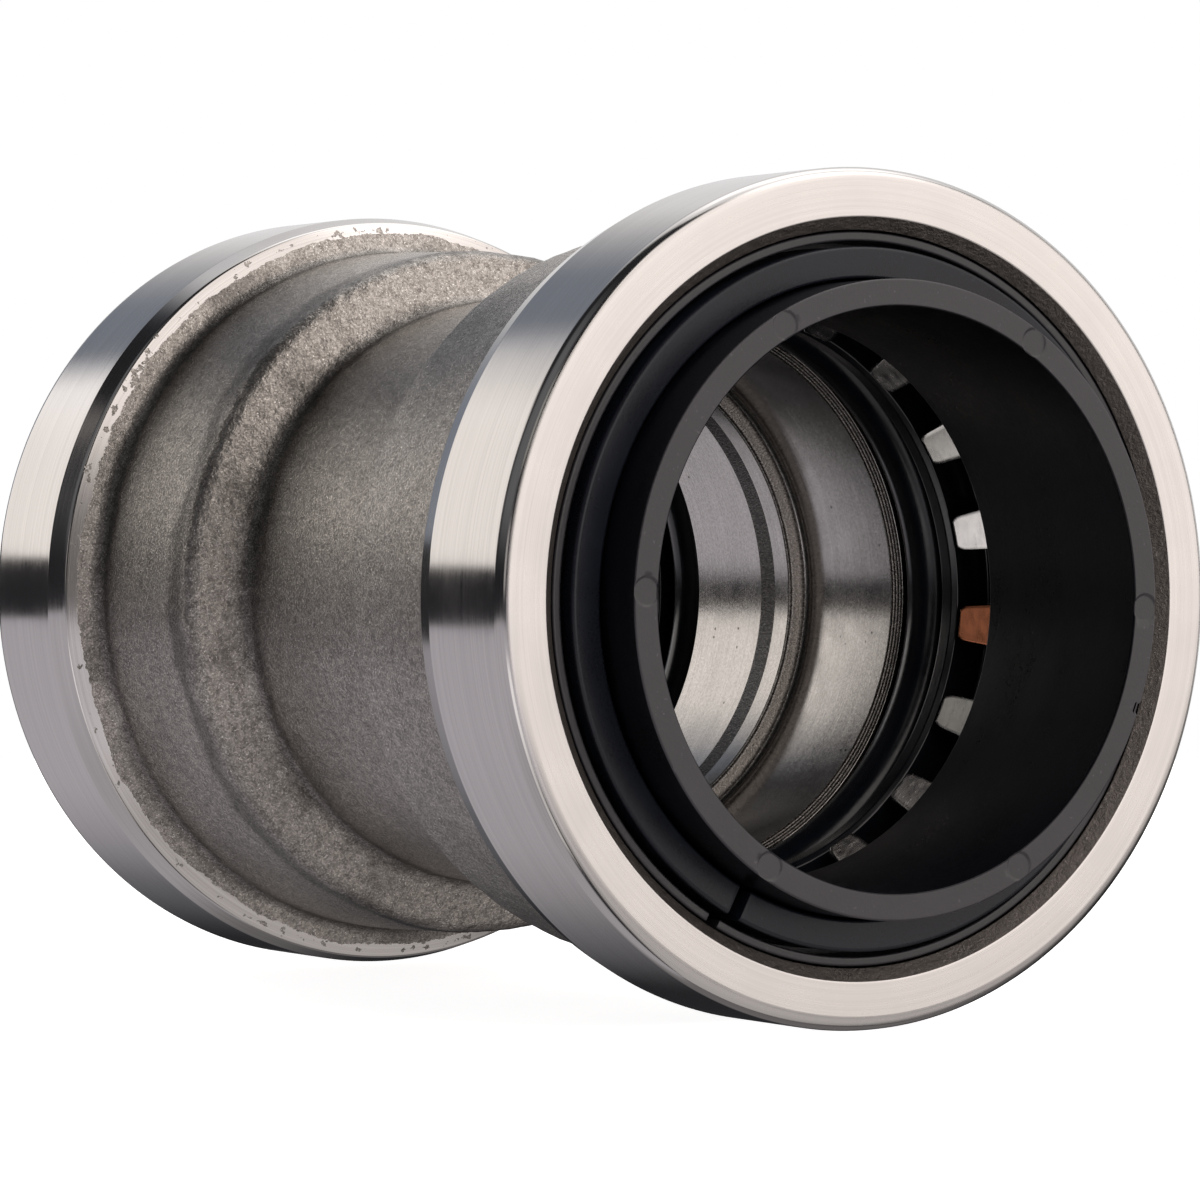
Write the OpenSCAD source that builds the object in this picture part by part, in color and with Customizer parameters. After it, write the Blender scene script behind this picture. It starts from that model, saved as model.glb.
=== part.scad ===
// Push-to-connect coupling for 2-inch (60.3 mm) steel pipe, millimetres.
// The pipe axis lies along X and the two ends are mirror images of each other.
// Origin: centre of the coupling on its axis. +Z is up, +X is the right-hand end.

/* [Body] */
// Diameter of the machined rim at each end
flange_d = 91; // [90:0.5:96]
// Length of the steel body from end face to end face
body_len = 117; // [116.5:0.25:118]
// Width of the machined band on the rim
band_w = 12.9; // [11:0.1:13.5]
// Radius of the rounded front edge of the rim
rim_round = 1.6; // [0.8:0.1:2.2]
// Diameter of the cast socket housing next to the rim
housing_d = 82; // [81.6:0.2:83]
// Diameter of the cast socket housing next to the waist
housing_small_d = 80.6; // [80:0.2:81.4]
// Diameter of the cast waist between the two housings
waist_d = 68.4; // [67.4:0.2:70]
// Distance from the centre to the foot of the housing shoulder
waist_half = 16.2; // [15:0.1:17]
// Distance from the centre to the top of the housing shoulder
shoulder_x = 18.9; // [18.5:0.1:19.4]
// Rounding at the top of the housing shoulder
shoulder_round = 2.4; // [2:0.2:4]
// Fillet at the foot of the housing shoulder
waist_fillet = 2.6; // [2:0.2:5]

/* [Pipe socket] */
// Diameter of the bore that takes the pipe
socket_d = 61.2; // [61:0.1:61.6]
// Diameter through the pipe stop in the middle
stop_d = 56.2; // [54:0.2:58]
// Width of the pipe stop
stop_w = 6.4; // [4:0.2:8]
// Distance from the centre to the end of the socket bore
socket_end_x = 19.9; // [19:0.1:19.9]
// Width of the lathe-cut lead chamfer beyond the socket bore
lead_w = 1; // [0.6:0.1:1.1]
// Diameter of the mouth at the end face
mouth_d = 80.5; // [80:0.1:81]

/* [Seal] */
// Section diameter of the O-ring
seal_section = 6; // [5.6:0.1:6]
// Inside diameter of the O-ring with the pipe seated
seal_id = 60.9; // [60.8:0.05:61]
// Distance from the centre to the middle of the O-ring
seal_x = 24.2; // [24:0.1:25]

/* [Grip ring] */
// Number of teeth
tooth_count = 19; // [13:1:21]
// Diameter across the tooth tips with the pipe seated
tooth_tip_d = 60.8; // [60.75:0.05:61]
// Sheet thickness of the grip ring
grip_t = 0.8; // [0.6:0.1:0.9]
// Gap between neighbouring teeth
tooth_gap = 6.3; // [5:0.1:7]
// Angle of the first tooth about the axis, from +Y towards +Z
tooth_angle = -5.9; // [-21:0.1:21]

/* [Collar and retaining ring] */
// Outside diameter of the collar where it fills the mouth
collar_d = 74.2; // [73.6:0.1:74.6]
// Distance from the centre to the collar's front face
collar_front_x = 58.5; // [57.6:0.1:59.4]
// Width of the split through the collar
collar_split = 1.5; // [1:0.1:2.5]
// Angle of the collar's split about the axis, from +Y towards +Z
collar_split_angle = -118; // [-180:1:180]
// Width of the split through the retaining ring
ring_split = 1.4; // [1:0.1:2.5]
// Angle of the retaining ring's split about the axis, from +Y towards +Z
ring_split_angle = -120; // [-180:1:180]

/* [Release sleeve] */
// Inside diameter of the release sleeve
sleeve_id = 61.2; // [61:0.1:61.6]
// Outside diameter of the release sleeve where it stands out
sleeve_d = 66.9; // [66.4:0.1:66.9]
// Distance from the centre to the sleeve's front face
sleeve_front_x = 64.4; // [64.2:0.1:64.8]
// Distance the sleeve can be pushed in before its nose meets the raised teeth
sleeve_travel = 3; // [2:0.1:3]
// Diameter of the round ejector marks on the front face
ejector_d = 3; // [2.9:0.1:3.4]

/* [Hidden] */
eps = 0.05;
fine = 96;
half_len = body_len / 2;
rim_r = flange_d / 2;
socket_r = socket_d / 2;
stop_r = stop_d / 2;

// Stations along the axis, measured from the centre
band_x = half_len - rim_round - band_w;
rim_back_x = band_x - 2.9;
housing_x = rim_back_x - 1.9;
lead_x = socket_end_x + lead_w;
seal_wall_x = 29.05;
collar_seat_x = 41.4;
groove_in_x = 51.6;
groove_out_x = 54;

// Radii of the steps inside the housing
lead_r = socket_r + lead_w - 0.1;
seal_wall_r = seal_id / 2 + seal_section + 0.15;
grip_wall_r = 37.9;
collar_wall_r = 38.9;
groove_r = 40.3;

// Grip ring
rim_plate_x = 36.5;
tooth_root_r = 34.4;
tooth_tip_r = tooth_tip_d / 2;

// Release sleeve
sleeve_collar_r = 34.9;
sleeve_nose_r = 33;
sleeve_pushed_x = 35.4;
sleeve_end_x = sleeve_pushed_x + sleeve_travel;

function unit(v) = v / norm(v);

// Turns a section drawn as [radius, x] about the X axis.
module revolve() {
    rotate([0, 90, 0])
        rotate_extrude($fn = fine)
            children();
}

// Points of the arc of radius r that rounds corner b of the path a-b-c.
function rounded(a, b, c, r, steps = 8) =
    let (
        u = unit(a - b),
        w = unit(c - b),
        half_angle = acos(u * w) / 2,
        centre = b + unit(u + w) * r / sin(half_angle),
        start = b + u * r / tan(half_angle) - centre,
        turn = (u[0] * w[1] - u[1] * w[0] > 0 ? -1 : 1) * (180 - 2 * half_angle)
    )
    [for (i = [0 : steps])
        let (angle = turn * i / steps)
        centre + [
            start[0] * cos(angle) - start[1] * sin(angle),
            start[0] * sin(angle) + start[1] * cos(angle)
        ]
    ];

// Moves children to an angle about the X axis: their +Z turns to face that way.
module at_angle(angle) {
    rotate([angle - 90, 0, 0])
        children();
}

// A radial cut of one width through everything between two stations.
module split(angle, width, x0, x1, r0, r1) {
    at_angle(angle)
        translate([x0, -width / 2, r0])
            cube([x1 - x0, width, r1 - r0]);
}

// ---------- body: one steel casting, machined at both ends ----------

// Corners of the outside, from the waist to the end face
waist_mid = [waist_d / 2, 0];
waist_foot = [waist_d / 2, waist_half];
shoulder_top = [housing_small_d / 2, shoulder_x];
housing_foot = [housing_d / 2, housing_x];
rim_back = [rim_r - 0.7, rim_back_x];
band_back = [rim_r, band_x];
band_front = [rim_r, half_len];
face_inner = [mouth_d / 2, half_len];

function body_half_outline() = concat(
    [waist_mid],
    rounded(waist_mid, waist_foot, shoulder_top, waist_fillet),
    rounded(waist_foot, shoulder_top, housing_foot, shoulder_round),
    rounded(shoulder_top, housing_foot, rim_back, 1.2, 4),
    rounded(housing_foot, rim_back, band_back, 0.6, 4),
    [band_back],
    rounded(band_back, band_front, face_inner, rim_round),
    [
        face_inner,
        [collar_wall_r, half_len - mouth_d / 2 + collar_wall_r],
        [collar_wall_r, groove_out_x],
        [groove_r, groove_out_x],
        [groove_r, groove_in_x],
        [collar_wall_r, groove_in_x],
        [collar_wall_r, collar_seat_x],
        [grip_wall_r, collar_seat_x],
        [grip_wall_r, seal_wall_x],
        [seal_wall_r, seal_wall_x],
        [seal_wall_r, lead_x],
        [lead_r, lead_x],
        [socket_r, socket_end_x],
        [socket_r, stop_w / 2],
        [stop_r + 0.4, stop_w / 2],
        [stop_r, stop_w / 2 - 0.4]
    ]
);

function mirrored(points) = [
    for (i = [len(points) - 1 : -1 : 1])
        [points[i][0], -points[i][1]]
];

module body() {
    color("silver")
        revolve()
            polygon(concat(body_half_outline(), mirrored(body_half_outline())));
}

// ---------- pieces of one end, drawn for the +X end ----------

// Rubber O-ring lying against the deep wall of its gland.
module o_ring() {
    revolve()
        translate([seal_id / 2 + seal_section / 2, seal_x])
            circle(d = seal_section, $fn = fine);
}

// Plastic ring between the O-ring and the grip ring, with a rim that spaces them.
module spacer_ring() {
    revolve()
        polygon([
            [30.95, seal_wall_x + eps],
            [grip_wall_r - 0.1, seal_wall_x + eps],
            [grip_wall_r - 0.1, rim_plate_x - eps],
            [35.6, rim_plate_x - eps],
            [35.6, seal_wall_x + 2.7],
            [31.5, seal_wall_x + 2.4],
            [30.95, seal_wall_x + 1.9]
        ]);
}

// Section of the sheet: flat rim, then the teeth lean inwards at 45 degrees.
module grip_section() {
    lean = tooth_root_r - tooth_tip_r;
    skew = grip_t * tan(22.5);
    polygon([
        [grip_wall_r - 0.15, rim_plate_x],
        [grip_wall_r - 0.15, rim_plate_x + grip_t],
        [tooth_root_r - skew, rim_plate_x + grip_t],
        [tooth_tip_r, rim_plate_x + grip_t + skew - lean],
        [tooth_tip_r, rim_plate_x - lean - skew * 0.2],
        [tooth_tip_r + 0.35, rim_plate_x - lean + 0.3 - skew * 0.2],
        [tooth_root_r, rim_plate_x]
    ]);
}

// Outline of one gap between teeth; the tooth corners beside it are rounded.
module tooth_gap_outline() {
    corner = 1;
    translate([-tooth_gap / 2, 0])
        square([tooth_gap, tooth_root_r]);
    for (side = [-1, 1])
        difference() {
            translate([side * (tooth_gap + corner) / 2, tooth_tip_r - 0.6 + corner / 2])
                square([corner + 0.02, corner], center = true);
            translate([side * (tooth_gap / 2 + corner), tooth_tip_r - 0.6 + corner])
                circle(r = corner, $fn = 48);
        }
}

// Spring-steel grip ring.
module grip_ring() {
    difference() {
        revolve()
            grip_section();
        for (i = [0 : tooth_count - 1])
            at_angle(tooth_angle + (i + 0.5) * 360 / tooth_count)
                translate([rim_plate_x - 6, 0, 0])
                    rotate([90, 0, 90])
                        linear_extrude(height = 6 + grip_t + 1)
                            tooth_gap_outline();
    }
}

// Plastic ring that backs the grip ring's rim on the mouth side.
module support_ring() {
    revolve()
        polygon([
            [35.1, rim_plate_x + grip_t + eps],
            [grip_wall_r - 0.1, rim_plate_x + grip_t + eps],
            [grip_wall_r - 0.1, collar_seat_x],
            [35.4, collar_seat_x],
            [35.1, collar_seat_x - 0.3]
        ]);
}

// Split plastic collar that guides the sleeve and fills the mouth.
module guide_collar() {
    front_r = collar_d / 2;
    bore_r = sleeve_d / 2 + 0.3;
    step_r = sleeve_collar_r + 0.3;
    front_foot = [front_r, groove_in_x - 0.2];
    front_corner = [front_r, collar_front_x];
    face_edge = [bore_r + 0.25, collar_front_x];
    difference() {
        revolve()
            polygon(concat(
                [
                    [step_r, collar_seat_x + eps],
                    [collar_wall_r - 0.2, collar_seat_x + eps],
                    [collar_wall_r - 0.2, groove_in_x - 0.2],
                    front_foot
                ],
                rounded(front_foot, front_corner, face_edge, 0.4, 4),
                [
                    face_edge,
                    [bore_r, collar_front_x - 0.25],
                    [bore_r, 48.35],
                    [step_r, 48.35]
                ]
            ));
        split(collar_split_angle, collar_split, collar_seat_x - 1, collar_front_x + 1, 30, 42);
    }
}

// Split ring that snaps into the groove in the body and holds the collar in.
module retaining_ring() {
    inner_r = collar_d / 2 + 0.6;
    difference() {
        revolve()
            polygon([
                [inner_r, groove_in_x + eps],
                [groove_r - 0.3, groove_in_x + eps],
                [groove_r - 0.3, groove_out_x - 0.5],
                [collar_wall_r - 0.2, groove_out_x - 0.1],
                [collar_wall_r - 0.2, half_len - 1.3],
                [inner_r, half_len - 1.3]
            ]);
        split(ring_split_angle, ring_split, groove_in_x - 1, half_len, 36, 42);
    }
}

// Plastic sleeve that is pushed in to lift the teeth off the pipe.
module release_sleeve() {
    in_r = sleeve_id / 2;
    out_r = sleeve_d / 2;
    mark_r = (in_r + out_r) / 2;
    difference() {
        revolve()
            polygon([
                [in_r, sleeve_end_x + 0.3],
                [in_r + 0.3, sleeve_end_x],
                [sleeve_nose_r - 1.2, sleeve_end_x],
                [sleeve_nose_r, sleeve_end_x + 1.6],
                [sleeve_nose_r, 44.8],
                [sleeve_collar_r, 44.8],
                [sleeve_collar_r, 48.3],
                [out_r, 48.3],
                [out_r, sleeve_front_x - 0.2],
                [out_r - 0.2, sleeve_front_x],
                [in_r + 0.2, sleeve_front_x],
                [in_r, sleeve_front_x - 0.2]
            ]);
        for (i = [0 : 5])
            at_angle(i * 60 - 2)
                translate([sleeve_front_x - 0.15, 0, mark_r])
                    rotate([0, 90, 0])
                        cylinder(d = ejector_d, h = 1, $fn = 48);
        // gate mark where the moulding was cut off
        at_angle(-21)
            translate([sleeve_front_x - 0.6, -0.6, out_r - 0.35])
                cube([1, 1.2, 1]);
    }
}

// ---------- named pieces ----------

module right_o_ring() color("black") o_ring();
module right_spacer_ring() color("dimgray") spacer_ring();
module right_grip_ring() color("gainsboro") grip_ring();
module right_support_ring() color("dimgray") support_ring();
module right_guide_collar() color("darkslategray") guide_collar();
module right_retaining_ring() color("gray") retaining_ring();
module right_release_sleeve() color("dimgray") release_sleeve();

module left_o_ring() color("black") mirror([1, 0, 0]) o_ring();
module left_spacer_ring() color("dimgray") mirror([1, 0, 0]) spacer_ring();
module left_grip_ring() color("gainsboro") mirror([1, 0, 0]) grip_ring();
module left_support_ring() color("dimgray") mirror([1, 0, 0]) support_ring();
module left_guide_collar() color("darkslategray") mirror([1, 0, 0]) guide_collar();
module left_retaining_ring() color("gray") mirror([1, 0, 0]) retaining_ring();
module left_release_sleeve() color("dimgray") mirror([1, 0, 0]) release_sleeve();

body();
right_o_ring();
right_spacer_ring();
right_grip_ring();
right_support_ring();
right_guide_collar();
right_retaining_ring();
right_release_sleeve();
left_o_ring();
left_spacer_ring();
left_grip_ring();
left_support_ring();
left_guide_collar();
left_retaining_ring();
left_release_sleeve();
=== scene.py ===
import math

import bmesh
import bpy
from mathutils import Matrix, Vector, noise


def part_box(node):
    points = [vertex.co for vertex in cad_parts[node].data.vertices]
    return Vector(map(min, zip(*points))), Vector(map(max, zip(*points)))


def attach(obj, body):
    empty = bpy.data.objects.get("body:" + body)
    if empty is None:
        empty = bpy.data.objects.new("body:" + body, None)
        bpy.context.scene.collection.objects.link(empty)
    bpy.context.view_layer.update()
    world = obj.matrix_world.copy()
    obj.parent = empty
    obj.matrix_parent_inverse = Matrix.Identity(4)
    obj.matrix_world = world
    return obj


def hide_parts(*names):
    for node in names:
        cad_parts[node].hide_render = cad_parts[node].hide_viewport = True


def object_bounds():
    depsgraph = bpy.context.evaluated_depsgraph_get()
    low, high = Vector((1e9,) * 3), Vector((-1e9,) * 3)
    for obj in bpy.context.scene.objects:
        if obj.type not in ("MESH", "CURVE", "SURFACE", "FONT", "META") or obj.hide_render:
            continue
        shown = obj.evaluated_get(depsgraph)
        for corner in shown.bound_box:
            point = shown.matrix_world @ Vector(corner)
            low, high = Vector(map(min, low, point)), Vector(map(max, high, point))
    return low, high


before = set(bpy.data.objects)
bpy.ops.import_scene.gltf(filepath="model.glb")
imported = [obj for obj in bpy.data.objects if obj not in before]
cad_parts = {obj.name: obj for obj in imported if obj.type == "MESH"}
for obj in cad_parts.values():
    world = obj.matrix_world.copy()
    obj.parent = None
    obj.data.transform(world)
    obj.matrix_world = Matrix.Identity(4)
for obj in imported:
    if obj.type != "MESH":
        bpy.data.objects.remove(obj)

MM = 0.001
cad_lo, cad_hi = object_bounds()
RIM_R = cad_hi.z / MM
HALF_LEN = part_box("body")[1].x / MM
SLEEVE_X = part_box("right_release_sleeve")[1].x / MM
COLLAR_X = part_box("right_guide_collar")[1].x / MM

# Directions about the pipe axis are angles in degrees from +Y towards +Z.
COLLAR_SPLIT = -118.0
RETAINER_SPLIT = -120.0
MARK_ANGLES = [i * 60.0 - 2.0 for i in range(6)]
GATE_ANGLE = -21.0
TOOTH_COUNT = 19
TOOTH_ANGLE = -5.9


# ---------------------------------------------------------------- sections

def arc(a, b, c, radius, steps):
    """Points of the arc that rounds corner b of the path a-b-c."""
    a, b, c = Vector(a), Vector(b), Vector(c)
    u, w = (a - b).normalized(), (c - b).normalized()
    half = math.acos(max(-1.0, min(1.0, u.dot(w)))) / 2
    centre = b + (u + w).normalized() * radius / math.sin(half)
    start = b + u * radius / math.tan(half) - centre
    side = -1 if u.x * w.y - u.y * w.x > 0 else 1
    turn = side * (math.pi - 2 * half)
    points = []
    for i in range(steps + 1):
        t = turn * i / steps
        points.append((
            centre.x + start.x * math.cos(t) - start.y * math.sin(t),
            centre.y + start.x * math.sin(t) + start.y * math.cos(t),
        ))
    return points


def section(corners):
    """Points and one material number per edge of a closed section.

    A corner is (r, x, rounding, material, step). The material and the step, which is the longest edge
    allowed, belong to the line after it.
    """
    count = len(corners)
    runs = []
    for i, (r, x, rounding, material, step) in enumerate(corners):
        before, after = corners[i - 1][:2], corners[(i + 1) % count][:2]
        if rounding:
            steps = 2 if rounding < 0.45 else max(5, round(rounding * 3))
            runs.append(arc(before, (r, x), after, rounding, steps))
        else:
            runs.append([(r, x)])
    points, materials = [], []
    for i, (r, x, rounding, material, step) in enumerate(corners):
        run = runs[i]
        inner = corners[i - 1][3]
        for k, point in enumerate(run):
            points.append(point)
            materials.append(inner if k < len(run) / 2 else material)
        start, end = Vector(run[-1]), Vector(runs[(i + 1) % count][0])
        length = (end - start).length
        materials[-1] = material
        if length < 0.3:
            continue
        edge = min(0.09, length / 4)
        spans = max(1, math.ceil((length - 2 * edge) / step))
        for k in range(spans + 1):
            at = edge + (length - 2 * edge) * k / spans
            points.append(tuple(start.lerp(end, at / length)))
            materials.append(material)
    return points, materials


# ---------------------------------------------------------------- meshes

def finish_mesh(name, verts, faces, materials, slots):
    mesh = bpy.data.meshes.new(name)
    mesh.from_pydata([Vector(v) * MM for v in verts], [], faces)
    for slot in slots:
        mesh.materials.append(slot)
    mesh.polygons.foreach_set("material_index", materials)
    mesh.polygons.foreach_set("use_smooth", [True] * len(faces))
    work = bmesh.new()
    work.from_mesh(mesh)
    bmesh.ops.recalc_face_normals(work, faces=work.faces)
    work.to_mesh(mesh)
    work.free()
    piece = bpy.data.objects.new(name, mesh)
    bpy.context.scene.collection.objects.link(piece)
    return piece


def turned(name, outline, slots, angles=480, shape=None):
    """Turns a closed section about the X axis."""
    points, kinds = outline
    if isinstance(angles, int):
        angles = [360 * j / angles for j in range(angles)]
    n, m = len(points), len(angles)
    verts, faces, materials = [], [], []
    for angle in angles:
        c, s = math.cos(math.radians(angle)), math.sin(math.radians(angle))
        for k, (r, x) in enumerate(points):
            if shape:
                r, x = shape(r, x, angle, k)
            verts.append((x, r * c, r * s))
    for j in range(m):
        a, b = j * n, (j + 1) % m * n
        for k in range(n):
            k2 = (k + 1) % n
            faces.append((a + k, a + k2, b + k2, b + k))
            materials.append(kinds[k])
    return finish_mesh(name, verts, faces, materials, slots)


def turned_split(name, outline, slots, at, width, segments=420):
    """Turns a section about the X axis and leaves a parallel-sided split of one width at an angle."""
    points, kinds = outline
    n = len(points)
    verts, faces, materials = [], [], []
    for j in range(segments + 1):
        t = j / segments
        for k, (r, x) in enumerate(points):
            gap = math.asin(width / 2 / r)
            a = math.radians(at) + gap + t * (2 * math.pi - 2 * gap)
            verts.append((x, r * math.cos(a), r * math.sin(a)))
    for j in range(segments):
        a, b = j * n, (j + 1) * n
        for k in range(n):
            k2 = (k + 1) % n
            faces.append((a + k, a + k2, b + k2, b + k))
            materials.append(kinds[k])
    for first in (0, segments * n):
        faces.append(tuple(first + k for k in range(n)))
        materials.append(0)
    piece = finish_mesh(name, verts, faces, materials, slots)
    soften(piece, 0.12, 50)
    return piece


def soften(piece, width, angle):
    """A small machined or moulded radius on the edges sharper than angle."""
    bevel = piece.modifiers.new("edge radius", "BEVEL")
    bevel.width = width * MM
    bevel.segments = 2
    bevel.limit_method = "ANGLE"
    bevel.angle_limit = math.radians(angle)
    bevel.harden_normals = False


def mirrored_copy(piece, name):
    """The same piece for the -X end."""
    mesh = piece.data.copy()
    mesh.name = name
    for vertex in mesh.vertices:
        vertex.co.x = -vertex.co.x
    mesh.flip_normals()
    other = bpy.data.objects.new(name, mesh)
    bpy.context.scene.collection.objects.link(other)
    settings = ("width", "segments", "limit_method", "angle_limit", "thickness", "offset", "use_even_offset")
    for old in piece.modifiers:
        new = other.modifiers.new(old.name, old.type)
        for key in settings:
            if hasattr(old, key):
                setattr(new, key, getattr(old, key))
    return other


# ---------------------------------------------------------------- materials

def new_tree(name):
    material = bpy.data.materials.new(name)
    material.use_nodes = True
    tree = material.node_tree
    tree.nodes.clear()
    return material, tree


def add(tree, kind, settings=None, **inputs):
    """Adds a node. Inputs are named with underscores; a socket is linked and anything else is set."""
    node = tree.nodes.new("ShaderNode" + kind)
    for key, value in (settings or {}).items():
        setattr(node, key, value)
    for key, value in inputs.items():
        index = int(key[1:]) if key[0] == "i" and key[1:].isdigit() else None
        socket = node.inputs[index] if index is not None else node.inputs[key.replace("_", " ")]
        if isinstance(value, bpy.types.NodeSocket):
            tree.links.new(value, socket)
        else:
            socket.default_value = value
    return node


def maths(tree, operation, *values, clamp=False):
    node = add(tree, "Math", {"operation": operation, "use_clamp": clamp})
    for i, value in enumerate(values):
        if isinstance(value, bpy.types.NodeSocket):
            tree.links.new(value, node.inputs[i])
        else:
            node.inputs[i].default_value = value
    return node.outputs[0]


def vector(tree, operation, *values):
    node = add(tree, "VectorMath", {"operation": operation})
    for i, value in enumerate(values):
        if isinstance(value, bpy.types.NodeSocket):
            tree.links.new(value, node.inputs[i])
        else:
            node.inputs[i].default_value = value
    return node.outputs["Value" if operation in ("LENGTH", "DOT_PRODUCT") else "Vector"]


def remap(tree, value, low, high, to_low=0.0, to_high=1.0, smooth=False):
    settings = {"interpolation_type": "SMOOTHSTEP"} if smooth else {}
    ranges = {"From_Min": low, "From_Max": high, "To_Min": to_low, "To_Max": to_high}
    node = add(tree, "MapRange", settings, Value=value, **ranges)
    return node.outputs[0]


def grain(tree, coords, scale, detail=3.0, roughness=0.6):
    return add(
        tree, "TexNoise", None, Vector=coords, Scale=scale, Detail=detail, Roughness=roughness
    ).outputs["Fac"]


def blend(tree, fac, a, b, operation="MIX"):
    node = add(tree, "Mix", {"data_type": "RGBA", "blend_type": operation})
    for index, value in ((0, fac), (6, a), (7, b)):
        if isinstance(value, bpy.types.NodeSocket):
            tree.links.new(value, node.inputs[index])
        elif index == 0:
            node.inputs[index].default_value = value
        else:
            node.inputs[index].default_value = (*value, 1.0)
    return node.outputs[2]


def bump(tree, height, distance, strength=1.0, below=None):
    node = add(tree, "Bump", None, Height=height, Distance=distance, Strength=strength)
    if below is not None:
        tree.links.new(below, node.inputs["Normal"])
    return node.outputs[0]


def finish_material(tree, colour, rough, normal, metallic=1.0, **constants):
    shader = add(tree, "BsdfPrincipled", None, Metallic=metallic)
    for key, value in constants.items():
        shader.inputs[key.replace("_", " ")].default_value = value
    for name, value in (("Base Color", colour), ("Roughness", rough), ("Normal", normal)):
        if isinstance(value, bpy.types.NodeSocket):
            tree.links.new(value, shader.inputs[name])
    output = add(tree, "OutputMaterial")
    tree.links.new(shader.outputs[0], output.inputs[0])


def object_coords(tree):
    return add(tree, "TexCoord").outputs["Object"]


def radius_of(tree, coords):
    flat = vector(tree, "MULTIPLY", coords, (0.0, 1.0, 1.0))
    return vector(tree, "LENGTH", flat)


def lathe_lines(tree, coords, across, around, by_radius=False):
    """Fine turning marks: they repeat quickly along the tool's feed and slowly round the axis."""
    if by_radius:
        outward = maths(tree, "MULTIPLY", radius_of(tree, coords), across)
        parts = add(tree, "CombineXYZ", None, X=outward).outputs[0]
        slow = vector(tree, "MULTIPLY", coords, (0.0, around, around))
        stretched = vector(tree, "ADD", parts, slow)
    else:
        stretched = vector(tree, "MULTIPLY", coords, (across, around, around))
    return grain(tree, stretched, 1.0, 4.0, 0.7)


# Painted shade in the creases of the casting and a painted dark reflection along the crest of the left
# housing only, in metres: what is measured, where, half width, and depth of tone.
# "along" is the place along X and "side" is the distance from the middle.
PAINTED_SHADE_AND_REFLECTION_BANDS = [
    # painted dark reflection along the crest of the left housing only
    ("along", -0.0211, 0.0026, 0.52),
    # painted shade in the crease at the foot of each slope
    ("side", 0.0152, 0.0020, 0.45),
    # painted shade in the crease at the foot of each rim
    ("side", 0.0386, 0.0018, 0.38),
]
SLOPE_X = 0.0176


def off_centre(tree, value):
    """A noise value moved to lie evenly round nought."""
    return maths(tree, "SUBTRACT", value, 0.5)


def cast_parts(tree, coords):
    """Colour, roughness and normal of the casting skin, with painted shade in its creases, a painted dark
    reflection along the left crest, and crinkles on its slopes.
    """
    fine = grain(tree, coords, 3600.0, 4.0, 0.72)
    lumps = grain(tree, coords, 1150.0, 3.0, 0.6)
    broad = grain(tree, coords, 55.0, 3.0, 0.55)
    mix = maths(tree, "ADD", maths(tree, "MULTIPLY", fine, 0.65), maths(tree, "MULTIPLY", lumps, 0.35))
    tone = remap(tree, mix, 0.39, 0.61)
    colour = blend(tree, tone, (0.185, 0.170, 0.156), (0.53, 0.495, 0.460))
    glint = remap(tree, grain(tree, coords, 4800.0, 2.0, 0.5), 0.63, 0.71)
    colour = blend(tree, glint, colour, (0.93, 0.89, 0.84))
    tone_and_painted_shade = remap(tree, broad, 0.3, 0.7, 0.88, 1.06)
    along = add(tree, "SeparateXYZ", None, Vector=coords).outputs["X"]
    side = maths(tree, "ABSOLUTE", along)
    places = {"along": along, "side": side}
    wander = maths(tree, "MULTIPLY", off_centre(tree, grain(tree, coords, 105.0, 4.0, 0.6)), 0.0068)
    # each band darkens the tone: painted shade in the creases, a painted dark reflection on the left crest
    for measure, at, reach, depth in PAINTED_SHADE_AND_REFLECTION_BANDS:
        place = maths(tree, "ADD", places[measure], wander)
        away = maths(tree, "ABSOLUTE", maths(tree, "SUBTRACT", place, at))
        painted_dark_here = remap(tree, away, reach * 0.15, reach, 1.0 - depth, 1.0, True)
        tone_and_painted_shade = maths(tree, "MULTIPLY", tone_and_painted_shade, painted_dark_here)
    shaded = vector(tree, "SCALE", colour)
    tree.links.new(tone_and_painted_shade, shaded.node.inputs["Scale"])
    rough = remap(tree, fine, 0.3, 0.7, 0.36, 0.22)
    off_slope = maths(tree, "ABSOLUTE", maths(tree, "SUBTRACT", side, SLOPE_X))
    slope = remap(tree, off_slope, 0.0008, 0.0028, 1.0, 0.10, True)
    folds = grain(tree, vector(tree, "MULTIPLY", coords, (1.6, 1.0, 1.0)), 430.0, 4.0, 0.6)
    crinkles = maths(tree, "MULTIPLY", folds, slope)
    normal = bump(tree, crinkles, 0.0004)
    normal = bump(tree, lumps, 0.00006, 0.9, normal)
    normal = bump(tree, fine, 0.00006, 1.0, normal)
    return shaded, rough, normal


def cast_steel():
    """The casting skin by itself."""
    material, tree = new_tree("cast_steel")
    colour, rough, normal = cast_parts(tree, object_coords(tree))
    finish_material(tree, colour, rough, normal)
    return material


def turned_steel(name, by_radius, base, rough_low, rough_high, depth):
    """Bright steel with fine turning marks: round the axis on a cylinder, or by radius on a flat end."""
    material, tree = new_tree(name)
    coords = object_coords(tree)
    lines = lathe_lines(tree, coords, 6500.0, 26.0, by_radius)
    coarse = lathe_lines(tree, coords, 2600.0, 9.0, by_radius)
    cloud = grain(tree, coords, 130.0, 4.0, 0.6)
    tone = remap(tree, maths(tree, "ADD", lines, coarse), 0.75, 1.25)
    dark = tuple(c * 0.86 for c in base)
    colour = blend(tree, tone, dark, base)
    rough = remap(tree, maths(tree, "ADD", lines, cloud), 0.7, 1.3, rough_low, rough_high)
    normal = bump(tree, lines, depth)
    normal = bump(tree, coarse, depth * 1.4, 1.0, normal)
    finish_material(tree, colour, rough, normal)
    return material


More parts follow.
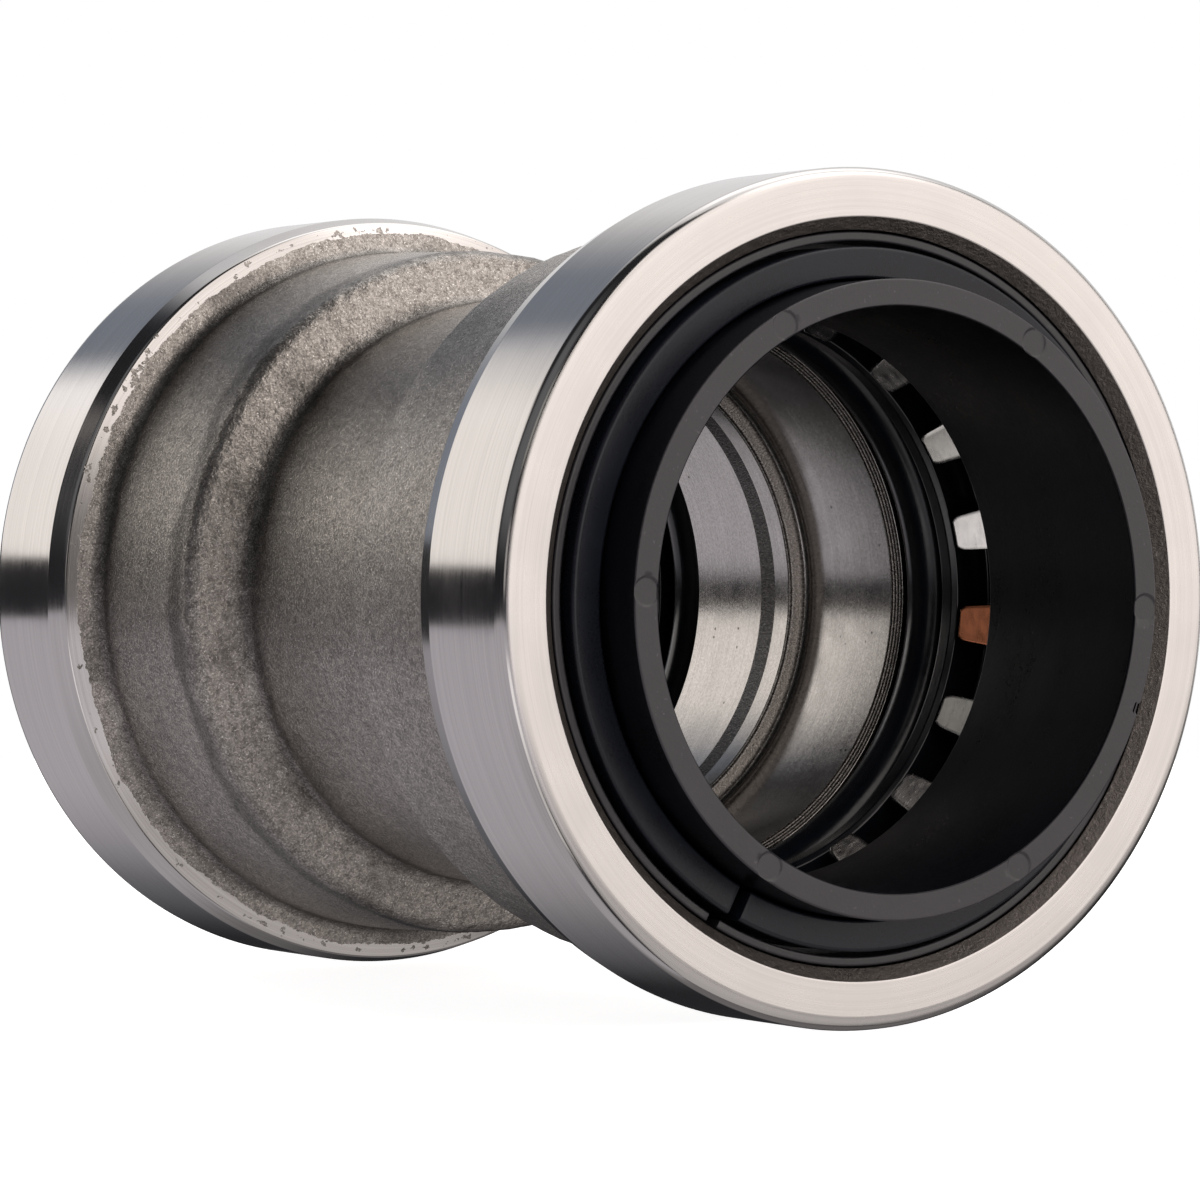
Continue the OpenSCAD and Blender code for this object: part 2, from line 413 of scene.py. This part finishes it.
def rim_back_steel():
    """Back of the rim: turned bright outside, casting skin left inside, with a ragged edge between."""
    material, tree = new_tree("rim_back_steel")
    coords = object_coords(tree)
    cast_colour, cast_rough, cast_normal = cast_parts(tree, coords)
    lines = lathe_lines(tree, coords, 5200.0, 26.0, True)
    bright = blend(tree, remap(tree, lines, 0.35, 0.65), (0.60, 0.575, 0.555), (0.74, 0.72, 0.70))
    bright_normal = bump(tree, lines, 0.0000016)
    radius = maths(tree, "DIVIDE", radius_of(tree, coords), MM)
    wave = maths(tree, "MULTIPLY", off_centre(tree, grain(tree, coords, 90.0, 3.0, 0.5)), 1.9)
    fray = maths(tree, "MULTIPLY", off_centre(tree, grain(tree, coords, 1000.0, 4.0, 0.7)), 0.9)
    edge = maths(tree, "ADD", maths(tree, "ADD", radius, wave), fray)
    turned_part = remap(tree, edge, 43.22, 43.30)
    # islands of casting skin left in the middle of the turned ring
    from_middle = maths(tree, "ABSOLUTE", maths(tree, "SUBTRACT", radius, 43.95))
    patchy = maths(tree, "MULTIPLY", off_centre(tree, grain(tree, coords, 45.0, 2.0, 0.5)), 0.35)
    pits = maths(tree, "ADD", grain(tree, coords, 750.0, 4.0, 0.6), patchy)
    pits = maths(tree, "SUBTRACT", pits, maths(tree, "MULTIPLY", from_middle, 0.16))
    skin = remap(tree, pits, 0.575, 0.59, 1.0, 0.0)
    fac = maths(tree, "MULTIPLY", turned_part, skin)
    colour = blend(tree, fac, cast_colour, bright)
    rough = add(tree, "Mix", {"data_type": "FLOAT"}, i0=fac, i2=cast_rough, i3=0.14).outputs[0]
    normal = add(tree, "Mix", {"data_type": "VECTOR"}, i0=fac, i4=cast_normal, i5=bright_normal).outputs[1]
    normal = bump(tree, fac, 0.00008, 0.6, vector(tree, "NORMALIZE", normal))
    finish_material(tree, colour, rough, normal)
    return material


def mouth_steel():
    """Rough, dark band between the bright end face and the retaining ring."""
    material, tree = new_tree("mouth_steel")
    coords = object_coords(tree)
    fine = grain(tree, coords, 2300.0, 5.0, 0.75)
    lumps = grain(tree, coords, 800.0, 3.0, 0.6)
    specks = remap(tree, fine, 0.60, 0.76)
    colour = blend(tree, specks, (0.21, 0.19, 0.175), (0.60, 0.57, 0.54))
    rough = remap(tree, fine, 0.3, 0.7, 0.62, 0.36)
    normal = bump(tree, lumps, 0.0003)
    normal = bump(tree, fine, 0.00025, 1.0, normal)
    finish_material(tree, colour, rough, normal)
    return material


def bore_steel():
    """Turned and lightly blasted bores, with small pits."""
    material, tree = new_tree("bore_steel")
    coords = object_coords(tree)
    lines = lathe_lines(tree, coords, 5200.0, 60.0)
    skin = grain(tree, coords, 3300.0, 4.0, 0.72)
    cloud = grain(tree, coords, 300.0, 4.0, 0.6)
    cells = add(tree, "TexVoronoi", None, Vector=coords, Scale=760.0, Randomness=1.0)
    chosen = remap(tree, cells.outputs["Color"], 0.74, 0.76)
    dots = maths(tree, "MULTIPLY", remap(tree, cells.outputs["Distance"], 0.08, 0.16, 1.0, 0.0), chosen)
    mix = maths(tree, "ADD", maths(tree, "MULTIPLY", lines, 0.35), maths(tree, "MULTIPLY", skin, 0.65))
    base = blend(tree, remap(tree, mix, 0.38, 0.62), (0.44, 0.42, 0.40), (0.70, 0.675, 0.65))
    colour = blend(tree, dots, base, (0.10, 0.09, 0.085))
    rough = remap(tree, maths(tree, "ADD", skin, cloud), 0.7, 1.3, 0.15, 0.27)
    normal = bump(tree, lines, 0.0000015)
    normal = bump(tree, skin, 0.0000055, 1.0, normal)
    normal = bump(tree, dots, 0.00003, -0.8, normal)
    finish_material(tree, colour, rough, normal)
    return material


def ridged_steel():
    """Coarse tool ridges left on the lead chamfers and on the far half of the pipe stop."""
    material, tree = new_tree("ridged_steel")
    coords = object_coords(tree)
    along = add(tree, "SeparateXYZ", None, Vector=coords).outputs["X"]
    ridge = maths(tree, "SINE", maths(tree, "MULTIPLY", along, 2 * math.pi / (0.26 * MM)))
    broken = grain(tree, vector(tree, "MULTIPLY", coords, (900.0, 3600.0, 3600.0)), 1.0, 4.0, 0.7)
    height = maths(tree, "ADD", maths(tree, "MULTIPLY", ridge, 0.5), maths(tree, "MULTIPLY", broken, 1.6))
    colour = blend(tree, remap(tree, height, 0.3, 1.5), (0.07, 0.065, 0.06), (0.52, 0.49, 0.46))
    rough = remap(tree, broken, 0.3, 0.7, 0.34, 0.20)
    normal = bump(tree, height, 0.00006)
    finish_material(tree, colour, rough, normal)
    return material


def plastic(name, base, rough_low, rough_high, texture=0.00002, flow=0.35, index=1.6):
    """Moulded nylon: fine skin, slow flow marks and a few light rubs."""
    material, tree = new_tree(name)
    coords = object_coords(tree)
    skin = grain(tree, coords, 2600.0, 4.0, 0.65)
    flow_marks = grain(tree, vector(tree, "MULTIPLY", coords, (1.0, 0.35, 0.35)), 240.0, 4.0, 0.6)
    dust = remap(tree, grain(tree, coords, 1900.0, 2.0, 0.5), 0.69, 0.75)
    low = tuple(c * (1 - flow) for c in base)
    colour = blend(tree, remap(tree, flow_marks, 0.3, 0.7), low, base)
    rubs = tuple(c * 3.5 for c in base)
    colour = blend(tree, maths(tree, "MULTIPLY", dust, 0.4), colour, rubs)
    rough = remap(tree, maths(tree, "ADD", skin, flow_marks), 0.7, 1.3, rough_low, rough_high)
    normal = bump(tree, flow_marks, texture * 2.5, 0.6)
    normal = bump(tree, skin, texture, 1.0, normal)
    finish_material(tree, colour, rough, normal, metallic=0.0, IOR=index)
    return material


def rubber():
    """Smooth, lubricated seal rubber."""
    material, tree = new_tree("seal_rubber")
    coords = object_coords(tree)
    skin = grain(tree, coords, 1800.0, 3.0, 0.6)
    cloud = grain(tree, coords, 150.0, 4.0, 0.6)
    colour = blend(tree, remap(tree, cloud, 0.3, 0.7), (0.005, 0.007, 0.011), (0.011, 0.014, 0.021))
    rough = remap(tree, maths(tree, "ADD", skin, cloud), 0.7, 1.3, 0.14, 0.27)
    normal = bump(tree, skin, 0.000006)
    finish_material(tree, colour, rough, normal, metallic=0.0, IOR=1.55)
    return material


def spring_steel():
    """Rolled spring sheet. One tooth of the right-hand ring has a painted brown reflection in its colour."""
    material, tree = new_tree("spring_steel")
    coords = object_coords(tree)
    rolled = grain(tree, vector(tree, "MULTIPLY", coords, (1.0, 0.25, 0.25)), 2600.0, 4.0, 0.65)
    cloud = grain(tree, coords, 200.0, 3.0, 0.6)
    tone = remap(tree, maths(tree, "ADD", rolled, cloud), 0.7, 1.3)
    colour = blend(tree, tone, (0.55, 0.53, 0.51), (0.74, 0.72, 0.69))
    parts = add(tree, "SeparateXYZ", None, Vector=coords).outputs
    turn = maths(tree, "ARCTAN2", parts["Z"], parts["Y"])
    # painted brown reflection on one tooth of the right-hand ring
    from_tooth = maths(tree, "ABSOLUTE", maths(tree, "SUBTRACT", turn, math.radians(TOOTH_ANGLE)))
    painted_reflection = remap(tree, from_tooth, math.radians(7.0), math.radians(8.0), 1.0, 0.0)
    painted_reflection = maths(tree, "MULTIPLY", painted_reflection, maths(tree, "GREATER_THAN", parts["X"], 0.0))
    colour = blend(tree, painted_reflection, colour, (0.52, 0.19, 0.095))
    rough = remap(tree, rolled, 0.3, 0.7, 0.16, 0.30)
    normal = bump(tree, rolled, 0.000005)
    finish_material(tree, colour, rough, normal)
    return material


CAST = cast_steel()
BAND = turned_steel("turned_band_steel", False, (0.70, 0.68, 0.665), 0.08, 0.16, 0.0000013)
FACE = turned_steel("turned_face_steel", True, (0.78, 0.755, 0.735), 0.24, 0.34, 0.0000012)
RIM_BACK = rim_back_steel()
MOUTH = mouth_steel()
BORE = bore_steel()
RIDGED = ridged_steel()
SLEEVE = plastic("sleeve_nylon", (0.040, 0.038, 0.046), 0.30, 0.42, 0.00002)
# The sleeve's bore and outer wall: the same nylon as its face, with painted shade making it far darker.
SLEEVE_SIDES_PAINTED_SHADE = plastic("sleeve_sides_nylon", (0.006, 0.007, 0.012), 0.26, 0.42, 0.00002, 0.5, 1.34)
COLLAR = plastic("collar_nylon", (0.013, 0.016, 0.025), 0.24, 0.36, 0.000016, 0.35, 1.42)
RETAINER = plastic("retaining_nylon", (0.028, 0.028, 0.034), 0.28, 0.40, 0.000018)
INNER = plastic("inner_nylon", (0.008, 0.010, 0.015), 0.14, 0.26, 0.000006)
RUBBER = rubber()
SPRING = spring_steel()


# ---------------------------------------------------------------- body

def cast_height(r, x, angle):
    """How far the casting skin stands out of its drawn surface, in mm."""
    a = math.radians(angle)
    p = Vector((x, r * math.cos(a), r * math.sin(a)))
    side = abs(x)
    slope = max(0.0, 1 - abs(side - 18.0) / 3.6)
    fade = min(1.0, max(0.0, (38.2 - side) / 1.5))
    swell = noise.noise(p * 0.09 + Vector((3.1, 7.7, 1.9))) * 0.20
    lumps = noise.noise(p * 0.30 + Vector((9.2, 0.4, 5.6))) * (0.05 + 0.10 * slope)
    skin = noise.noise(p * 0.75 + Vector((1.3, 4.8, 8.1))) * (0.03 + 0.10 * slope)
    wrinkles = noise.noise(p * 1.5 + Vector((6.3, 2.8, 0.1))) * (0.015 + 0.07 * slope)
    return (swell + lumps + skin + wrinkles) * fade


body_half = [
    (34.2, 0.0, 0, 0, 1.1),
    (34.2, 16.0, 2.6, 0, 0.7),
    (40.35, 18.7, 2.3, 0, 0.9),
    (41.0, 39.2, 2.0, 3, 0.7),
    (44.8, 41.1, 0.6, 1, 3.0),
    (RIM_R, 44.0, 0, 1, 7.0),
    (RIM_R, HALF_LEN, 1.6, 2, 4.0),
    (40.25, HALF_LEN, 0.18, 4, 0.6),
    (38.9, HALF_LEN - 1.35, 0.12, 5, 2.0),
    (38.9, 54.0, 0, 5, 2.0),
    (40.3, 54.0, 0, 5, 2.0),
    (40.3, 51.6, 0, 5, 2.0),
    (38.9, 51.6, 0, 5, 5.0),
    (38.9, 41.4, 0, 5, 2.0),
    (37.9, 41.4, 0, 5, 5.0),
    (37.9, 29.05, 0, 5, 2.0),
    (36.6, 29.05, 0.12, 5, 4.0),
    (36.6, 20.9, 0.3, 5, 2.0),
    (31.5, 20.9, 0.12, 6, 2.0),
    (30.6, 19.9, 0.08, 5, 9.0),
    (30.6, 3.2, 1.3, 6, 2.0),
    (28.1, 3.2, 0.42, 5, 2.0),
]


def body_section():
    left = []
    for before, corner in zip(reversed(body_half[:-1]), reversed(body_half[1:])):
        r, x, rounding, _, _ = corner
        left.append((r, -x, rounding, before[3], before[4]))
    stop_middle = (28.1, 0.0, 0, 6, 2.0)
    return section(body_half + [stop_middle] + left)


def body_shape(r, x, angle, k):
    if r < 33.0 or abs(x) > 40.6 or (r < 38.0 and abs(x) > 20.0):
        return r, x
    height = cast_height(r, x, angle)
    slope = max(0.0, 1 - abs(abs(x) - 17.6) / 2.6)
    return r + height * (1 - 0.5 * slope), x + math.copysign(height * 0.5 * slope, -x)


BODY_COLUMNS = 296
body_slots = [CAST, BAND, FACE, RIM_BACK, MOUTH, BORE, RIDGED]
body = turned("body_steel", body_section(), body_slots, BODY_COLUMNS, body_shape)


# ---------------------------------------------------------------- pieces of one end, drawn for the +X end

def columns(features, coarse, fine):
    """Angles round the axis: close together near the features (angle, half width), wide apart elsewhere."""
    angles = []
    angle = -180.0
    while angle < 180.0 - 1e-6:
        angles.append(angle)
        near = any(abs((angle - at + 180) % 360 - 180) < half for at, half in features)
        angle += fine if near else coarse
    return angles


def around(angle, at, r):
    """Distance round the axis from a feature, in mm."""
    return math.radians((angle - at + 180) % 360 - 180) * r


def step(value, low, high):
    t = max(0.0, min(1.0, (value - low) / (high - low)))
    return t * t * (3 - 2 * t)


def sleeve_shape(r, x, angle, k):
    """Ejector marks across the front face and the gate mark on its outer edge."""
    if x > SLEEVE_X - 0.16:
        for at in MARK_ANGLES:
            d = math.hypot(around(angle, at, r), r - 32.03)
            if d < 1.6:
                return r, min(x, SLEEVE_X - 0.17 * (1 - step(d, 1.43, 1.55)))
    if x > SLEEVE_X - 0.7 and r > 32.9:
        u = abs(around(angle, GATE_ANGLE, r))
        if u < 0.75:
            cut = 1 - step(u, 0.5, 0.68)
            return r - 0.33 * cut * step(x, SLEEVE_X - 0.7, SLEEVE_X - 0.5), x
    return r, x


sleeve_outline = section([
    (30.6, 38.7, 0.15, 1, 8.0),
    (30.6, SLEEVE_X, 0.16, 0, 0.12),
    (33.45, SLEEVE_X, 0.16, 1, 0.7),
    (33.45, 63.6, 0, 1, 6.0),
    (33.45, 48.3, 0.1, 1, 2.0),
    (34.9, 48.3, 0.2, 0, 2.0),
    (34.9, 44.8, 0.2, 0, 2.0),
    (33.0, 44.8, 0.1, 0, 4.0),
    (33.0, 40.0, 0.2, 0, 2.0),
    (31.8, 38.4, 0.15, 0, 2.0),
    (30.9, 38.4, 0.1, 0, 2.0),
])
sleeve_features = [(at, 3.1) for at in MARK_ANGLES] + [(GATE_ANGLE, 1.8)]
sleeve_columns = columns(sleeve_features, 1.0, 0.2)
sleeve = turned("right_sleeve_nylon", sleeve_outline, [SLEEVE, SLEEVE_SIDES_PAINTED_SHADE], sleeve_columns, sleeve_shape)

collar_outline = section([
    (35.2, 41.45, 0.1, 0, 4.0),
    (38.7, 41.45, 0.2, 0, 6.0),
    (38.7, 51.4, 0.15, 0, 2.0),
    (37.1, 51.4, 0, 0, 4.0),
    (37.1, COLLAR_X, 0.35, 0, 1.0),
    (33.75, COLLAR_X, 0.25, 0, 6.0),
    (33.75, 48.35, 0.1, 0, 2.0),
    (35.2, 48.35, 0, 0, 4.0),
])
collar = turned_split("right_collar_nylon", collar_outline, [COLLAR], COLLAR_SPLIT, 1.5)

retainer_outline = section([
    (37.7, 51.65, 0.15, 0, 2.0),
    (40.0, 51.65, 0.15, 0, 2.0),
    (40.0, 53.5, 0.15, 0, 2.0),
    (38.7, 53.9, 0.1, 0, 2.0),
    (38.7, HALF_LEN - 1.3, 0.2, 0, 1.0),
    (37.7, HALF_LEN - 1.3, 0.2, 0, 4.0),
])
retainer = turned_split("right_retainer_nylon", retainer_outline, [RETAINER], RETAINER_SPLIT, 1.4)

SEAL_R = 33.45
SEAL_AT_X = 24.2
SEAL_HALF = 3.0
ring_points = []
for degrees in range(0, 360, 6):
    a = math.radians(degrees)
    ring_points.append((SEAL_R + SEAL_HALF * math.cos(a), SEAL_AT_X + SEAL_HALF * math.sin(a)))
o_ring = turned("right_seal_rubber", (ring_points, [0] * len(ring_points)), [RUBBER], 360)

spacer_outline = section([
    (30.95, 29.1, 0.15, 0, 3.0),
    (37.8, 29.1, 0.15, 0, 3.0),
    (37.8, 36.45, 0.1, 0, 3.0),
    (35.6, 36.45, 0.15, 0, 3.0),
    (35.6, 35.6, 0, 0, 3.0),
    (35.42, 35.45, 0, 0, 3.0),
    (35.6, 35.3, 0, 0, 3.0),
    (35.6, 34.6, 0, 0, 3.0),
    (35.42, 34.45, 0, 0, 3.0),
    (35.6, 34.3, 0, 0, 3.0),
    (35.6, 31.75, 0.3, 0, 3.0),
    (31.5, 31.45, 0.25, 0, 3.0),
    (30.95, 30.95, 0.2, 0, 3.0),
])
spacer = turned("right_spacer_nylon", spacer_outline, [INNER], 360)

support_outline = section([
    (35.1, 37.35, 0.1, 0, 3.0),
    (37.8, 37.35, 0.1, 0, 3.0),
    (37.8, 41.4, 0.1, 0, 3.0),
    (35.4, 41.4, 0.12, 0, 3.0),
    (35.1, 41.1, 0.12, 0, 3.0),
])
support = turned("right_support_nylon", support_outline, [INNER], 360)


def grip_ring():
    """Spring-steel ring: a flat rim, then separate teeth leaning inwards at 45 degrees."""
    rim = [37.72, 37.0, 36.2, 35.4, 34.75, 34.42]
    lean = [(34.2, 36.46), (34.0, 36.33), (33.4, 35.75), (32.8, 35.15), (32.2, 34.55), (31.7, 34.05),
            (31.4, 33.75), (31.15, 33.5), (30.95, 33.3), (30.82, 33.17), (30.74, 33.09)]
    rows = [(r, 36.54) for r in rim] + lean
    tooth, between = 8, 8
    pitch = 360 / TOOTH_COUNT
    verts, faces = [], []
    index = {}

    def half_angle(r):
        """Half the tooth's width at this radius, as an angle: the gap beside it has parallel sides."""
        width = pitch / 2 - math.degrees(math.asin(3.15 / r))
        corner = 31.35
        if r < corner:
            width -= math.degrees((0.95 - math.sqrt(max(0.0, 0.95 ** 2 - (corner - r) ** 2 * 1.6))) / r)
        return width

    def vertex(row, number, place):
        number %= TOOTH_COUNT
        key = (row, number, place)
        if key not in index:
            r, x = rows[row]
            root = rows[len(rim) - 1][0]
            half = half_angle(min(r, root))
            if place <= tooth:
                offset = -half + 2 * half * place / tooth
            else:
                offset = half + (pitch - 2 * half) * (place - tooth) / between
            angle = math.radians(TOOTH_ANGLE + number * pitch + offset)
            index[key] = len(verts)
            verts.append((x, r * math.cos(angle), r * math.sin(angle)))
        return index[key]

    for number in range(TOOTH_COUNT):
        for row in range(len(rows) - 1):
            last = tooth + between if row < len(rim) - 1 else tooth
            for place in range(last):
                ends = [(place, number), (place + 1, number)]
                if place + 1 == tooth + between:
                    ends[1] = (0, number + 1)
                (p0, n0), (p1, n1) = ends
                near = (vertex(row, n0, p0), vertex(row, n1, p1))
                far = (vertex(row + 1, n1, p1), vertex(row + 1, n0, p0))
                faces.append(near + far)
    piece = finish_mesh("right_grip_steel", verts, faces, [0] * len(faces), [SPRING])
    solid = piece.modifiers.new("sheet", "SOLIDIFY")
    solid.thickness = 0.72 * MM
    solid.offset = 0.0
    solid.use_even_offset = True
    soften(piece, 0.09, 50)
    return piece


grip = grip_ring()

ends = [
    (sleeve, "release_sleeve", "sleeve", "sleeve_plastic"),
    (collar, "guide_collar", "coupling", "collar_plastic"),
    (retainer, "retaining_ring", "coupling", "retaining_plastic"),
    (o_ring, "o_ring", "coupling", "seal_rubber"),
    (spacer, "spacer_ring", "coupling", "inner_plastic"),
    (support, "support_ring", "coupling", "inner_plastic"),
    (grip, "grip_ring", "coupling", "spring_steel"),
]
for piece, node, rides_on, slot in ends:
    other = mirrored_copy(piece, piece.name.replace("right", "left"))
    for side, shown in (("right", piece), ("left", other)):
        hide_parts(f"{side}_{node}")
        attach(shown, f"{side}_sleeve" if rides_on == "sleeve" else rides_on)
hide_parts("body")
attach(body, "coupling")


# ---------------------------------------------------------------- camera, floor and light

CAMERA_AZIMUTH = 57.72
CAMERA_ELEVATION = 0.683
CAMERA_DISTANCE = 0.5713
FLOOR_RADIUS = 0.6
PALE = (0.93, 0.93, 0.93)


def make_camera():
    data = bpy.data.cameras.new("camera")
    camera = bpy.data.objects.new("camera", data)
    bpy.context.scene.collection.objects.link(camera)
    azimuth, elevation = math.radians(CAMERA_AZIMUTH), math.radians(CAMERA_ELEVATION)
    back = Vector((
        math.sin(azimuth) * math.cos(elevation),
        -math.cos(azimuth) * math.cos(elevation),
        math.sin(elevation),
    ))
    camera.location = back * CAMERA_DISTANCE
    camera.rotation_mode = "QUATERNION"
    camera.rotation_quaternion = (-back).to_track_quat("-Z", "Y")
    data.sensor_width = 36.0
    data.lens = 148.9
    data.shift_x = 0.02167
    data.shift_y = -0.00517
    data.clip_start = 0.01
    data.clip_end = 20.0
    bpy.context.scene.camera = camera


def make_disc(name, radius, height, colour, glow):
    """A flat round sheet under the object, matt, with a light of its own like a light table."""
    material, tree = new_tree(name)
    shader = add(tree, "BsdfPrincipled", None, Roughness=0.9)
    shader.inputs["Base Color"].default_value = (*colour, 1.0)
    shader.inputs["Emission Color"].default_value = (*colour, 1.0)
    shader.inputs["Emission Strength"].default_value = glow
    output = add(tree, "OutputMaterial")
    tree.links.new(shader.outputs[0], output.inputs[0])
    work = bmesh.new()
    bmesh.ops.create_circle(work, cap_ends=True, segments=128, radius=radius)
    mesh = bpy.data.meshes.new(name)
    work.to_mesh(mesh)
    work.free()
    mesh.materials.append(material)
    disc = bpy.data.objects.new(name, mesh)
    disc.location.z = height
    bpy.context.scene.collection.objects.link(disc)
    return disc


def soft_box(tree, direction, at, half_width, low, high, soft, colour):
    """Light from one window of the studio, placed by bearing and by lowest and highest elevation, in degrees.

    soft gives how gently it fades at its sides, its lower edge and its upper edge.
    """
    rad = math.radians
    c, s = math.cos(rad(at)), math.sin(rad(at))
    ahead = vector(tree, "DOT_PRODUCT", direction, (c, s, 0.0))
    aside = vector(tree, "DOT_PRODUCT", direction, (-s, c, 0.0))
    bearing = maths(tree, "ABSOLUTE", maths(tree, "ARCTAN2", aside, ahead))
    elevation = maths(tree, "ARCSINE", add(tree, "SeparateXYZ", None, Vector=direction).outputs["Z"])
    sides, bottom, top = soft
    inside = remap(tree, bearing, rad(half_width - sides), rad(half_width + sides), 1.0, 0.0, True)
    above = remap(tree, elevation, rad(low - bottom), rad(low + bottom), 0.0, 1.0, True)
    below = remap(tree, elevation, rad(high - top), rad(high + top), 1.0, 0.0, True)
    window = maths(tree, "MULTIPLY", maths(tree, "MULTIPLY", inside, above), below)
    glow = vector(tree, "SCALE", tuple(colour))
    tree.links.new(window, glow.node.inputs["Scale"])
    return glow


def make_world():
    """Soft boxes round the object, and a plain white backdrop."""
    world = bpy.data.worlds.new("studio")
    bpy.context.scene.world = world
    world.use_nodes = True
    tree = world.node_tree
    tree.nodes.clear()
    direction = add(tree, "TexCoord").outputs["Generated"]
    windows = [
        # bearing, half width, lowest, highest, softness, colour
        (29.2, 52.8, -10.0, 70.0, (3.0, 9.0, 8.0), (1.24, 1.15, 1.10)),
        (-155.0, 17.5, 4.3, 30.3, (4.0, 0.6, 6.5), (1.11, 1.05, 1.00)),
        (130.0, 34.0, -6.0, 75.0, (11.0, 3.0, 8.0), (0.79, 0.78, 0.78)),
        (110.0, 75.0, 44.0, 88.0, (12.0, 8.0, 2.0), (0.90, 0.88, 0.87)),
        (180.0, 14.0, 4.3, 46.0, (8.0, 0.6, 8.0), (0.20, 0.22, 0.26)),
        (-92.0, 88.0, -28.0, -4.3, (12.0, 10.0, 0.6), (0.49, 0.465, 0.495)),
        (-120.0, 62.0, -90.0, -28.0, (14.0, 1.0, 10.0), (0.42, 0.40, 0.42)),
        (172.0, 10.0, -34.0, -10.0, (8.0, 6.0, 4.0), (0.10, 0.10, 0.11)),
        (22.0, 46.0, -90.0, -18.0, (14.0, 1.0, 8.0), (0.50, 0.47, 0.46)),
        (130.0, 48.0, -90.0, -34.0, (12.0, 1.0, 12.0), (0.16, 0.15, 0.15)),
        (-49.0, 10.0, -50.0, -11.0, (3.0, 4.0, 3.0), (0.62, 0.60, 0.58)),
        (-53.0, 7.0, 1.0, 13.0, (2.0, 2.0, 2.0), (0.40, 0.38, 0.37)),
        (-48.0, 8.0, 24.0, 42.0, (3.0, 3.0, 4.0), (0.30, 0.29, 0.27)),
        (-90.0, 34.0, 12.0, 62.0, (14.0, 8.0, 12.0), (0.13, 0.13, 0.135)),
    ]
    total = (0.02, 0.02, 0.022)
    for window in windows:
        total = vector(tree, "ADD", soft_box(tree, direction, *window), total)
    studio = add(tree, "Background", None, Color=total, Strength=1.0)
    backdrop = add(tree, "Background", None, Strength=1.0)
    backdrop.inputs["Color"].default_value = (1.0, 1.0, 1.0, 1.0)
    seen = add(tree, "LightPath").outputs["Is Camera Ray"]
    mix = add(tree, "MixShader", None, i0=seen, i1=studio.outputs[0], i2=backdrop.outputs[0])
    output = add(tree, "OutputWorld")
    tree.links.new(mix.outputs[0], output.inputs[0])


make_camera()
make_world()
floor = make_disc("floor", FLOOR_RADIUS, cad_lo.z, PALE, 0.93)
floor.visible_glossy = False
floor.visible_diffuse = False

view = bpy.context.scene.view_settings
view.view_transform = "Standard"
view.look = "None"
